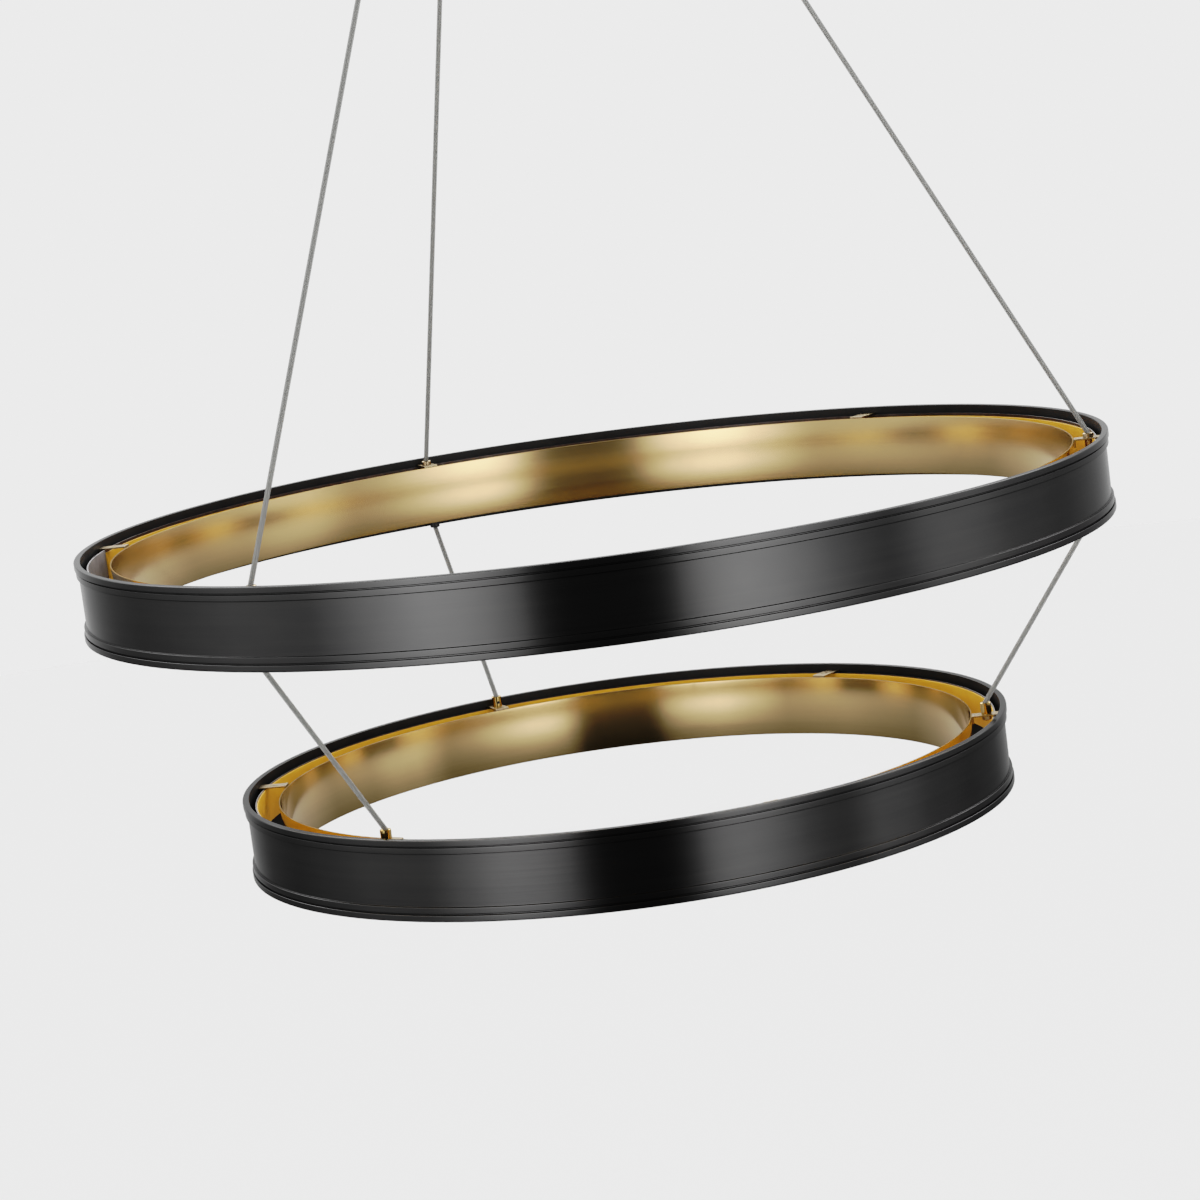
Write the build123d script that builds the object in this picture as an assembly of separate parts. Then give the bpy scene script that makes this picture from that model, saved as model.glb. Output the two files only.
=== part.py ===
from build123d import *
from math import asin, atan2, cos, degrees, hypot, radians, sin, sqrt
import os

# Two-tier ring chandelier in millimetres. The origin is on the ceiling, on the common axis of the rings.
# Z is up, and the first cable lies over the +X axis.

# Overall sizes
UPPER_DIAMETER = 1016.0
LOWER_DIAMETER = 762.0
RING_HEIGHT = 76.2
RING_WIDTH = 38.1
UPPER_RIM_DROP = 934.0
TIER_SPACING = 260.0
CABLE_COUNT = 3
BRIDGES_PER_CABLE = 2

# Outer band: two stepped beads along each edge of a plain wall
BAND_WALL = 3.0
BEAD_PROUD = 3.3
BEAD_STEP = 1.0
BEAD_HEIGHT = 6.2
BEAD_ROUND = 0.7
RIM_ROUND = 2.0
GROOVE_WIDTH = 1.0
GROOVE_DEPTH = 1.5

# Reflector: a wall that curves in to a waist, given by its depth below the rim
REFLECTOR_WALL = 1.5
REFLECTOR_TOP = 8.2
REFLECTOR_BOTTOM = 69.85
REFLECTOR_WAIST = 45.7
REFLECTOR_SWEEP = 271.0
REFLECTOR_EDGE_ROUND = 0.5

# LED hoop under the bridges
LED_HOOP_INSET = 14.2
LED_HOOP_THICKNESS = 2.4
LED_HOOP_HEIGHT = 34.0

# Bridges between the band and the reflector
BRIDGE_DROP = 6.35
BRIDGE_WIDTH = 15.0
BRIDGE_THICKNESS = 1.6
BRIDGE_OUTER_TAB = 6.4
BRIDGE_INNER_TAB = 8.0
BRIDGE_SLOT_LENGTH = 7.0
BRIDGE_SLOT_WIDTH = 2.6
BRIDGE_CLEARANCE = 0.1

# Cables
CABLE_DIAMETER = 5.0
CABLE_INSET = 20.0
PIVOT_GAP = 0.3
OPEN_END_GAP = 0.7

# Feed tubes through the upper ring
FEED_TUBE_DIAMETER = 7.2
FEED_BORE = 5.6
FEED_COLLAR_DIAMETER = 10.0
FEED_COLLAR_HEIGHT = 4.5
FEED_CAP_DIAMETER = 10.4
FEED_CAP_HEIGHT = 7.0
FEED_THREAD_LENGTH = 3.0
CAP_CHAMFER = 0.8

# Barrels on the lower ring
BARREL_DIAMETER = 10.4
BARREL_HEIGHT = 11.4
BARREL_CHAMFER = 0.4
STUD_DIAMETER = 5.0
STUD_PAST_NUT = 1.0
NUT_FLATS = 8.0
NUT_HEIGHT = 4.0
SET_SCREW_DIAMETER = 3.0
SET_SCREW_LENGTH = 3.2
SET_SCREW_HEIGHT = 5.0
HEX_KEY_FLATS = 1.5
HEX_KEY_DEPTH = 1.2

# Canopy
CANOPY_DIAMETER = 200.0
CANOPY_DEPTH = 45.0
CANOPY_WALL = 1.5
CANOPY_ROUND = 12.0
CANOPY_LIP_HEIGHT = 6.0
CANOPY_LIP_PROUD = 1.5
CEILING_PLATE_DIAMETER = 170.0
CEILING_PLATE_THICKNESS = 2.5
BOX_SCREW_SPACING = 88.9
BOX_SCREW_HOLE = 5.2
WIRE_HOLE = 24.0
SUSPENSION_PLATE_DIAMETER = 160.0
SUSPENSION_PLATE_THICKNESS = 3.0
STANDOFF_CIRCLE_RADIUS = 68.0
STANDOFF_DIAMETER = 8.0

# Cable grips in the canopy
GRIP_CIRCLE_RADIUS = 50.0
GRIP_STEM_DIAMETER = 10.0
GRIP_STEM_PAST_NUT = 1.5
GRIP_FLANGE_DIAMETER = 18.0
GRIP_FLANGE_HEIGHT = 3.0
GRIP_BODY_DIAMETER = 13.0
GRIP_TIP_DIAMETER = 11.0
GRIP_BODY_HEIGHT = 12.0
GRIP_NUT_FLATS = 15.0
GRIP_NUT_HEIGHT = 6.0
STEM_CLEARANCE = 0.1

# Driver and terminal block on the suspension plate
DRIVER_LENGTH = 104.0
DRIVER_WIDTH = 40.0
DRIVER_HEIGHT = 26.0
DRIVER_OFFSET = 7.0
DRIVER_EDGE_ROUND = 3.0
TERMINAL_LENGTH = 30.0
TERMINAL_WIDTH = 16.0
TERMINAL_HEIGHT = 14.0
TERMINAL_OFFSET = 52.0
TERMINAL_WAYS = 3
TERMINAL_HOLE = 4.0
TERMINAL_HOLE_DEPTH = 8.0

# Two points closer than this are the same corner
SAME_PLACE = 1e-4

# Derived places
UPPER_RADIUS = UPPER_DIAMETER / 2
LOWER_RADIUS = LOWER_DIAMETER / 2
UPPER_RIM = -UPPER_RIM_DROP
LOWER_RIM = UPPER_RIM - TIER_SPACING
CABLE_RADIUS = CABLE_DIAMETER / 2
BAND_INSET = BEAD_PROUD + BAND_WALL
CABLE_PITCH = 360.0 / CABLE_COUNT
BRIDGE_PITCH = CABLE_PITCH / BRIDGES_PER_CABLE
CABLE_ANGLES = [CABLE_PITCH * number for number in range(CABLE_COUNT)]
UPPER_CABLE_RADIUS = UPPER_RADIUS - CABLE_INSET
LOWER_CABLE_RADIUS = LOWER_RADIUS - CABLE_INSET
CANOPY_FLOOR = -CANOPY_DEPTH + CANOPY_WALL
SUSPENSION_TOP = CANOPY_FLOOR + SUSPENSION_PLATE_THICKNESS
GRIP_PIVOT = -CANOPY_DEPTH - GRIP_FLANGE_HEIGHT - GRIP_BODY_HEIGHT
UPPER_SEAT = UPPER_RIM - BRIDGE_DROP + FEED_COLLAR_HEIGHT
CAP_SEAT = UPPER_RIM - RING_HEIGHT + BRIDGE_DROP
CAP_PIVOT = CAP_SEAT - FEED_CAP_HEIGHT
BARREL_SEAT = LOWER_RIM - BRIDGE_DROP
BARREL_TOP = BARREL_SEAT + BARREL_HEIGHT
UPPER_TILT = degrees(atan2(UPPER_CABLE_RADIUS - GRIP_CIRCLE_RADIUS, GRIP_PIVOT - UPPER_SEAT))
LOWER_TILT = degrees(atan2(abs(UPPER_CABLE_RADIUS - LOWER_CABLE_RADIUS), CAP_PIVOT - BARREL_TOP))


def around(shape, angle):
    """Turn a shape about the rings' axis."""
    return Rot(0, 0, angle) * shape


def turned(outline, arc=360.0):
    """Turn a closed outline, drawn as radius and height, about the rings' axis."""
    return revolve(Plane.XZ * outline, Axis.Z, arc)


def hoop(outline):
    """A full turn of an outline that starts and ends midway between two bridges."""
    return around(turned(outline), BRIDGE_PITCH / 2)


def polygon(*points):
    """Make a face from the corners of its outline."""
    return make_face(Polyline(*points, close=True))


def block_outline(inner, outer, bottom, top):
    """A rectangle between two radii and two heights."""
    return polygon((inner, bottom), (outer, bottom), (outer, top), (inner, top))


def corners_at(outline, radius, height):
    """The corner of an outline at one radius and height."""
    return [v for v in outline.vertices() if hypot(v.X - radius, v.Y - height) < SAME_PLACE]


def rod(diameter, bottom, top):
    """An upright round bar on the axis, between two heights."""
    return Pos(0, 0, (bottom + top) / 2) * Cylinder(diameter / 2, top - bottom)


def hex_bar(flats, bottom, top):
    """An upright hexagonal bar on the axis, between two heights."""
    hexagon = RegularPolygon(flats / 2, 6, major_radius=False)
    return Pos(0, 0, bottom) * extrude(hexagon, top - bottom)


def flared_mouth(height, tilt, gap, opens_up):
    """The hollow in which a cable's round end turns, with a flare as steep as the cable leaves it."""
    ball = CABLE_RADIUS + gap
    depth = ball * sin(radians(tilt))
    flare = Cone(ball / cos(radians(tilt)), ball * cos(radians(tilt)), depth)
    hollow = Sphere(ball) + Pos(0, 0, depth / 2) * flare
    if opens_up:
        hollow = Rot(180, 0, 0) * hollow
    return Pos(0, 0, height) * hollow


def cable(start, end):
    """A straight cable with a round end at each of its two pivots."""
    run = Vector(*end) - Vector(*start)
    r = CABLE_RADIUS
    sides = [
        Line((0, -r), (0, run.length + r)),
        CenterArc((0, run.length), r, 0, 90),
        Line((r, 0), (r, run.length)),
        CenterArc((0, 0), r, -90, 90),
    ]
    solid = turned(make_face(sides))
    return Plane(origin=start, z_dir=run).location * solid


def outer_band(radius, rim):
    """The dark outer band, with its two stepped beads and a groove along both edges."""
    wall = radius - BEAD_PROUD
    second_bead = radius - BEAD_STEP
    groove = radius - BEAD_STEP - GROOVE_DEPTH
    second_top = BEAD_HEIGHT + GROOVE_WIDTH
    edge = [
        (radius - BAND_INSET, 0),
        (radius, 0),
        (radius, BEAD_HEIGHT),
        (groove, BEAD_HEIGHT),
        (groove, second_top),
        (second_bead, second_top),
        (second_bead, second_top + BEAD_HEIGHT),
        (wall, second_top + BEAD_HEIGHT),
    ]
    upper = [(r, rim - depth) for r, depth in edge]
    lower = [(r, rim - RING_HEIGHT + depth) for r, depth in reversed(edge)]
    outline = polygon(*upper, *lower)
    outline = fillet(corners_at(outline, radius, rim), RIM_ROUND)
    outline = fillet(corners_at(outline, radius, rim - RING_HEIGHT), RIM_ROUND)
    beads = [(radius, BEAD_HEIGHT), (second_bead, second_top), (second_bead, second_top + BEAD_HEIGHT)]
    for r, depth in beads:
        outline = fillet(corners_at(outline, r, rim - depth), BEAD_ROUND)
        outline = fillet(corners_at(outline, r, rim - RING_HEIGHT + depth), BEAD_ROUND)
    return hoop(outline)


def flare(depth):
    """How far the reflector's wall stands out from its waist, at a depth below the rim."""
    return REFLECTOR_SWEEP - sqrt(REFLECTOR_SWEEP**2 - (depth - REFLECTOR_WAIST) ** 2)


def reflector_face(radius, depth):
    """The radius of the reflector's outer face at a depth below the rim."""
    return radius - RING_WIDTH + REFLECTOR_WALL + flare(depth)


def reflector(radius, rim):
    """The polished brass band inside the ring, waisted towards the axis."""
    outer = [(reflector_face(radius, d), rim - d) for d in (REFLECTOR_TOP, REFLECTOR_WAIST, REFLECTOR_BOTTOM)]
    inner = [(r - REFLECTOR_WALL, z) for r, z in outer]
    sides = [
        ThreePointArc(*outer),
        Line(outer[-1], inner[-1]),
        ThreePointArc(*reversed(inner)),
        Line(inner[0], outer[0]),
    ]
    outline = make_face(sides)
    return hoop(fillet(outline.vertices(), REFLECTOR_EDGE_ROUND))


def led_strip(radius, rim):
    """The stiff hoop with the yellow LED strip on its inner face, up against the bridges."""
    face = radius - LED_HOOP_INSET
    top = rim - BRIDGE_DROP - BRIDGE_THICKNESS
    return hoop(block_outline(face, face + LED_HOOP_THICKNESS, top - LED_HOOP_HEIGHT, top))


def bridge(radius, reflector_depth, hole):
    """A bent bar from the band's wall to the reflector, with its top face at height 0.

    It meets the reflector where that stands out furthest, at the given depth below the rim.
    The hole is for what passes through it at the cable; a bar with no hole has a slot.
    """
    outer = radius - BAND_INSET - BRIDGE_CLEARANCE
    inner = reflector_face(radius, reflector_depth) + BRIDGE_CLEARANCE
    outline = polygon(
        (inner, 0),
        (inner, -BRIDGE_INNER_TAB),
        (inner + BRIDGE_THICKNESS, -BRIDGE_INNER_TAB),
        (inner + BRIDGE_THICKNESS, -BRIDGE_THICKNESS),
        (outer - BRIDGE_THICKNESS, -BRIDGE_THICKNESS),
        (outer - BRIDGE_THICKNESS, -BRIDGE_OUTER_TAB),
        (outer, -BRIDGE_OUTER_TAB),
        (outer, 0),
    )
    arc = 2 * degrees(asin(BRIDGE_WIDTH / 2 / (radius - CABLE_INSET)))
    bar = around(turned(outline, arc), -arc / 2)
    opening = Circle(hole / 2) if hole else SlotOverall(BRIDGE_SLOT_LENGTH, BRIDGE_SLOT_WIDTH)
    return bar - Pos(radius - CABLE_INSET, 0, 0) * extrude(opening, 2 * BRIDGE_THICKNESS, both=True)


def top_bridges(radius, rim, hole):
    """The bridges on top of a ring: one at each cable, and the others evenly between them."""
    bars = []
    for number in range(CABLE_COUNT * BRIDGES_PER_CABLE):
        bar = bridge(radius, REFLECTOR_TOP, hole if number % BRIDGES_PER_CABLE == 0 else 0)
        bars.append(around(Pos(0, 0, rim - BRIDGE_DROP) * bar, number * BRIDGE_PITCH))
    return bars


def bottom_bridges(radius, rim, hole):
    """The bridges under a ring, upside down below the cables."""
    bar = mirror(bridge(radius, REFLECTOR_BOTTOM, hole), Plane.XY)
    height = rim - RING_HEIGHT + BRIDGE_DROP
    return [around(Pos(0, 0, height) * bar, angle) for angle in CABLE_ANGLES]


def feed_tube():
    """The turned tube that carries a cable through the upper ring, on the axis."""
    bridge_top = UPPER_RIM - BRIDGE_DROP
    collar = rod(FEED_COLLAR_DIAMETER, bridge_top, UPPER_SEAT)
    collar = chamfer(collar.edges().group_by(Axis.Z)[-1], CAP_CHAMFER)
    tube = rod(FEED_TUBE_DIAMETER, CAP_SEAT - FEED_THREAD_LENGTH, bridge_top)
    bore = rod(FEED_BORE, CAP_SEAT - FEED_THREAD_LENGTH, UPPER_SEAT)
    return collar + tube - bore - flared_mouth(UPPER_SEAT, UPPER_TILT, OPEN_END_GAP, True)


def feed_cap():
    """The cap that holds a feed tube under the ring and lets the lower cable out, on the axis."""
    cap = rod(FEED_CAP_DIAMETER, CAP_PIVOT, CAP_SEAT)
    cap = chamfer(cap.edges().group_by(Axis.Z)[0], CAP_CHAMFER)
    socket = rod(FEED_TUBE_DIAMETER, CAP_SEAT - FEED_THREAD_LENGTH, CAP_SEAT)
    bore = rod(FEED_BORE, CAP_PIVOT, CAP_SEAT)
    return cap - socket - bore - flared_mouth(CAP_PIVOT, LOWER_TILT, PIVOT_GAP, False)


def set_screw_core():
    """The space of a set screw, let into the side of the barrel that faces the rings' axis."""
    face = -BARREL_DIAMETER / 2
    height = BARREL_SEAT + SET_SCREW_HEIGHT
    core = Cylinder(SET_SCREW_DIAMETER / 2, SET_SCREW_LENGTH)
    return Pos(face + SET_SCREW_LENGTH / 2, 0, height) * Rot(0, 90, 0) * core


def cable_barrel():
    """The barrel that a lower cable ends in, with the stud that holds it on its bridge, on the axis."""
    stud_end = BARREL_SEAT - BRIDGE_THICKNESS - NUT_HEIGHT - STUD_PAST_NUT
    body = rod(BARREL_DIAMETER, BARREL_SEAT, BARREL_TOP)
    body = chamfer(body.edges().group_by(Axis.Z)[-1], BARREL_CHAMFER)
    body += rod(STUD_DIAMETER, stud_end, BARREL_SEAT)
    mouth = flared_mouth(BARREL_TOP, LOWER_TILT, OPEN_END_GAP, True)
    return body - mouth - set_screw_core()


def set_screw():
    """A headless screw with a hexagonal socket, in its barrel."""
    face = -BARREL_DIAMETER / 2
    key = extrude(RegularPolygon(HEX_KEY_FLATS / 2, 6, major_radius=False), HEX_KEY_DEPTH)
    key = Pos(face, 0, BARREL_SEAT + SET_SCREW_HEIGHT) * Rot(0, 90, 0) * key
    return set_screw_core() - key


def barrel_nut():
    """The nut that holds a barrel's stud under its bridge, on the axis."""
    top = BARREL_SEAT - BRIDGE_THICKNESS
    return hex_bar(NUT_FLATS, top - NUT_HEIGHT, top) - rod(STUD_DIAMETER, top - NUT_HEIGHT, top)


def cable_grip():
    """The turned grip that a cable leaves the canopy through, on the axis."""
    stem_top = SUSPENSION_TOP + GRIP_NUT_HEIGHT + GRIP_STEM_PAST_NUT
    flange_bottom = -CANOPY_DEPTH - GRIP_FLANGE_HEIGHT
    profile = polygon(
        (0, stem_top),
        (GRIP_STEM_DIAMETER / 2, stem_top),
        (GRIP_STEM_DIAMETER / 2, -CANOPY_DEPTH),
        (GRIP_FLANGE_DIAMETER / 2, -CANOPY_DEPTH),
        (GRIP_FLANGE_DIAMETER / 2, flange_bottom),
        (GRIP_BODY_DIAMETER / 2, flange_bottom),
        (GRIP_TIP_DIAMETER / 2, GRIP_PIVOT),
        (0, GRIP_PIVOT),
    )
    bore = rod(FEED_BORE, GRIP_PIVOT, stem_top)
    return turned(profile) - bore - flared_mouth(GRIP_PIVOT, UPPER_TILT, PIVOT_GAP, False)


def grip_nut():
    """The nut that clamps a grip to the suspension plate, on the axis."""
    top = SUSPENSION_TOP + GRIP_NUT_HEIGHT
    return hex_bar(GRIP_NUT_FLATS, SUSPENSION_TOP, top) - rod(GRIP_STEM_DIAMETER, SUSPENSION_TOP, top)


def stem_holes(bottom, top):
    """The three holes that the grips' stems pass through."""
    hole = rod(GRIP_STEM_DIAMETER + 2 * STEM_CLEARANCE, bottom, top)
    return [around(Pos(GRIP_CIRCLE_RADIUS, 0, 0) * hole, angle) for angle in CABLE_ANGLES]


def canopy_shell():
    """The spun cup that covers the ceiling fittings, with a rolled lip against the ceiling."""
    outer = CANOPY_DIAMETER / 2
    inner_round = CANOPY_ROUND - CANOPY_WALL
    outline = polygon(
        (0, -CANOPY_DEPTH),
        (outer, -CANOPY_DEPTH),
        (outer, -CANOPY_LIP_HEIGHT),
        (outer + CANOPY_LIP_PROUD, -CANOPY_LIP_HEIGHT),
        (outer + CANOPY_LIP_PROUD, 0),
        (outer - CANOPY_WALL, 0),
        (outer - CANOPY_WALL, CANOPY_FLOOR),
        (0, CANOPY_FLOOR),
    )
    outline = fillet(corners_at(outline, outer, -CANOPY_DEPTH), CANOPY_ROUND)
    outline = fillet(corners_at(outline, outer - CANOPY_WALL, CANOPY_FLOOR), inner_round)
    return turned(outline) - stem_holes(-CANOPY_DEPTH, CANOPY_FLOOR)


def ceiling_plate():
    """The plate that screws to the ceiling's junction box, with a hole for the supply wires."""
    bottom = -CEILING_PLATE_THICKNESS
    plate = rod(CEILING_PLATE_DIAMETER, bottom, 0) - rod(WIRE_HOLE, bottom, 0)
    hole = rod(BOX_SCREW_HOLE, bottom, 0)
    return plate - [Pos(0, side * BOX_SCREW_SPACING / 2, 0) * hole for side in (-1, 1)]


def suspension_plate():
    """The plate on the canopy's floor that the cable grips hang from."""
    plate = rod(SUSPENSION_PLATE_DIAMETER, CANOPY_FLOOR, SUSPENSION_TOP)
    return plate - stem_holes(CANOPY_FLOOR, SUSPENSION_TOP)


def standoff():
    """A pillar between the two plates, on the axis."""
    return rod(STANDOFF_DIAMETER, SUSPENSION_TOP, -CEILING_PLATE_THICKNESS)


def led_driver():
    """The driver's case, lying on the suspension plate."""
    height = SUSPENSION_TOP + DRIVER_HEIGHT / 2
    case = Pos(DRIVER_OFFSET, 0, height) * Box(DRIVER_WIDTH, DRIVER_LENGTH, DRIVER_HEIGHT)
    return fillet(case.edges().filter_by(Axis.Z), DRIVER_EDGE_ROUND)


def terminal_block():
    """The terminal block for the supply wires, with its wire holes towards the canopy's wall."""
    height = SUSPENSION_TOP + TERMINAL_HEIGHT / 2
    block = Pos(-TERMINAL_OFFSET, 0, height) * Box(TERMINAL_WIDTH, TERMINAL_LENGTH, TERMINAL_HEIGHT)
    hole = Rot(0, 90, 0) * Cylinder(TERMINAL_HOLE / 2, 2 * TERMINAL_HOLE_DEPTH)
    face = -TERMINAL_OFFSET - TERMINAL_WIDTH / 2
    pitch = TERMINAL_LENGTH / TERMINAL_WAYS
    ways = [(way - (TERMINAL_WAYS - 1) / 2) * pitch for way in range(TERMINAL_WAYS)]
    return block - [Pos(face, way, height) * hole for way in ways]


def at_cables(shape, radius):
    """A copy of a piece on each cable's place, at that distance from the rings' axis."""
    return [around(Pos(radius, 0, 0) * shape, angle) for angle in CABLE_ANGLES]


def cables(top_radius, top, bottom_radius, bottom):
    """The three straight cables between two levels."""
    run = cable((top_radius, 0, top), (bottom_radius, 0, bottom))
    return [around(run, angle) for angle in CABLE_ANGLES]


def numbered(name, shapes):
    """Name the copies of a piece in order."""
    return {f"{name}_{number}": shape for number, shape in enumerate(shapes, start=1)}


def canopy_pieces():
    """Everything that stays on the ceiling."""
    standoffs = [
        around(Pos(STANDOFF_CIRCLE_RADIUS, 0, 0) * standoff(), angle + BRIDGE_PITCH)
        for angle in CABLE_ANGLES
    ]
    return {
        "ceiling_plate": ceiling_plate(),
        "suspension_plate": suspension_plate(),
        "canopy_shell": canopy_shell(),
        "led_driver": led_driver(),
        "terminal_block": terminal_block(),
        **numbered("standoff", standoffs),
        **numbered("cable_grip", at_cables(cable_grip(), GRIP_CIRCLE_RADIUS)),
        **numbered("grip_nut", at_cables(grip_nut(), GRIP_CIRCLE_RADIUS)),
    }


def upper_ring_pieces():
    """The larger ring and what takes the cables through it."""
    return {
        "upper_band": outer_band(UPPER_RADIUS, UPPER_RIM),
        "upper_reflector": reflector(UPPER_RADIUS, UPPER_RIM),
        "upper_led_strip": led_strip(UPPER_RADIUS, UPPER_RIM),
        **numbered("upper_top_bridge", top_bridges(UPPER_RADIUS, UPPER_RIM, FEED_TUBE_DIAMETER)),
        **numbered("upper_bottom_bridge", bottom_bridges(UPPER_RADIUS, UPPER_RIM, FEED_TUBE_DIAMETER)),
        **numbered("feed_tube", at_cables(feed_tube(), UPPER_CABLE_RADIUS)),
        **numbered("feed_cap", at_cables(feed_cap(), UPPER_CABLE_RADIUS)),
    }


def lower_ring_pieces():
    """The smaller ring and the barrels that the lower cables end in."""
    return {
        "lower_band": outer_band(LOWER_RADIUS, LOWER_RIM),
        "lower_reflector": reflector(LOWER_RADIUS, LOWER_RIM),
        "lower_led_strip": led_strip(LOWER_RADIUS, LOWER_RIM),
        **numbered("lower_top_bridge", top_bridges(LOWER_RADIUS, LOWER_RIM, STUD_DIAMETER)),
        **numbered("lower_bottom_bridge", bottom_bridges(LOWER_RADIUS, LOWER_RIM, 0)),
        **numbered("cable_barrel", at_cables(cable_barrel(), LOWER_CABLE_RADIUS)),
        **numbered("set_screw", at_cables(set_screw(), LOWER_CABLE_RADIUS)),
        **numbered("barrel_nut", at_cables(barrel_nut(), LOWER_CABLE_RADIUS)),
    }


def cable_pieces():
    """The cables from the canopy to the upper ring, and from there to the lower ring."""
    upper = cables(GRIP_CIRCLE_RADIUS, GRIP_PIVOT, UPPER_CABLE_RADIUS, UPPER_SEAT)
    lower = cables(UPPER_CABLE_RADIUS, CAP_PIVOT, LOWER_CABLE_RADIUS, BARREL_TOP)
    return {**numbered("upper_cable", upper), **numbered("lower_cable", lower)}


def main():
    """Build every piece and write one STEP file for each."""
    os.makedirs("parts", exist_ok=True)
    pieces = {**canopy_pieces(), **upper_ring_pieces(), **lower_ring_pieces(), **cable_pieces()}
    for name, shape in pieces.items():
        export_step(shape, os.path.join("parts", f"{name}.step"))
    print(f"{len(pieces)} pieces, cables at {UPPER_TILT:.2f} and {LOWER_TILT:.2f} degrees from upright")


main()
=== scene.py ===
"""Two-tier ring chandelier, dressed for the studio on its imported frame."""
import logging
import math
from dataclasses import dataclass, field, replace
from enum import Enum
from typing import Callable, Sequence

import bmesh
import bpy
from mathutils import Matrix, Quaternion, Vector


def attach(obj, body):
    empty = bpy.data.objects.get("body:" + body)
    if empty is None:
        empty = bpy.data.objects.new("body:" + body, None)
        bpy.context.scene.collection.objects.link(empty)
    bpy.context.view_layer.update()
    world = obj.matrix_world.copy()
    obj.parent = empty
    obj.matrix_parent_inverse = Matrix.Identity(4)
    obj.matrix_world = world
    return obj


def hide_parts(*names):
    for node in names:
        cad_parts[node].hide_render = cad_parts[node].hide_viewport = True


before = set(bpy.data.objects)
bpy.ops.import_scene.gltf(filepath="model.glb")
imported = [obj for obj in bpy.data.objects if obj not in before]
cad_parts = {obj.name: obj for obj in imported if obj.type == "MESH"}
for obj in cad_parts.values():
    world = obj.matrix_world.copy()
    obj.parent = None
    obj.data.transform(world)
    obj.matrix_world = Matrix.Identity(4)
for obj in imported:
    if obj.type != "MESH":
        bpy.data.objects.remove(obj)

LOG = logging.getLogger("ring_chandelier")
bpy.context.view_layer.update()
CABLE_ANGLES = (0.0, 120.0, 240.0)
WRAP_UV = "wrap"
CIRCLE = 360.0
QUARTER_TURN = 0.25
SECTORS = 16
CORNER_FACETS = 4
SAME_SPOT = 1e-6
ORIGIN = (0.0, 0.0, 0.0)
UPWARD = (0.0, 0.0, 1.0)

Colour = tuple[float, float, float]
Streaks = tuple[float, float]
Stops = tuple[tuple[float, float], ...]
Socket = bpy.types.NodeSocket
Shape = bmesh.types.BMesh


class Polish(Enum):
    """How far a brass reflector is polished."""

    SATIN = "satin"
    MIRROR = "mirror"


class NodeGraph:
    """A node tree, with short calls for adding and joining nodes."""

    def __init__(self, tree: bpy.types.NodeTree) -> None:
        """Work on a node tree."""
        self.tree = tree

    def add(self, kind: str, **settings: object) -> bpy.types.Node:
        """Add a node.

        Args:
            kind: The node's type.
            settings: Properties to set on it.

        Returns:
            The new node.
        """
        node = self.tree.nodes.new(kind)
        for key, value in settings.items():
            setattr(node, key, value)
        return node

    def feed(self, socket: Socket, value: object) -> None:
        """Join a socket to another, or set it to a constant.

        Args:
            socket: The input.
            value: An output socket, a number or a tuple.
        """
        if isinstance(value, bpy.types.NodeSocket):
            self.tree.links.new(value, socket)
        else:
            socket.default_value = value

    def pair(self, kind: str, operation: str, first: object, second: object) -> bpy.types.Node:
        """Add a node that works on two values.

        Args:
            kind: The node's type.
            operation: What it does.
            first: Its first value or socket.
            second: Its second value or socket.

        Returns:
            The new node.
        """
        node = self.add(kind, operation=operation)
        self.feed(node.inputs[0], first)
        self.feed(node.inputs[1], second)
        return node

    def math(self, operation: str, first: object, second: object = 0.0) -> Socket:
        """Work out a number from one or two numbers."""
        return self.pair("ShaderNodeMath", operation, first, second).outputs[0]

    def vector(self, operation: str, first: object, second: object = ORIGIN) -> Socket:
        """Work out a number from one or two vectors."""
        return self.pair("ShaderNodeVectorMath", operation, first, second).outputs["Value"]

    def ramp(self, value: Socket, stops: Stops) -> Socket:
        """Map a value onto a brightness that runs through a few stops.

        Args:
            value: The value.
            stops: Pairs of a value and the brightness there, in order.

        Returns:
            The brightness.
        """
        low, high = stops[0][0], stops[-1][0]
        node = self.add("ShaderNodeValToRGB")
        self.feed(node.inputs[0], self.spread(value, 0.0, 1.0, low, high))
        places = node.color_ramp.elements
        while len(places) < len(stops):
            places.new(0.5)
        for place, (at, bright) in zip(places, stops):
            place.position = (at - low) / (high - low)
            place.color = (bright, bright, bright, 1.0)
        return node.outputs[0]

    def both_ramps(self, first: Socket, first_stops: Stops, second: Socket, second_stops: Stops) -> Socket:
        """Multiply the brightness that two values give."""
        return self.math("MULTIPLY", self.ramp(first, first_stops), self.ramp(second, second_stops))

    def spread(self, value: Socket, low: float, high: float, start: float = 0.3, end: float = 0.7) -> Socket:
        """Map a value onto a range.

        Args:
            value: The value's socket.
            low: The result at the start.
            high: The result at the end.
            start: The value that gives the low result.
            end: The value that gives the high result.

        Returns:
            The mapped value.
        """
        node = self.add("ShaderNodeMapRange")
        self.feed(node.inputs["Value"], value)
        for name, number in (("From Min", start), ("From Max", end), ("To Min", low), ("To Max", high)):
            node.inputs[name].default_value = number
        return node.outputs["Result"]


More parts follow.
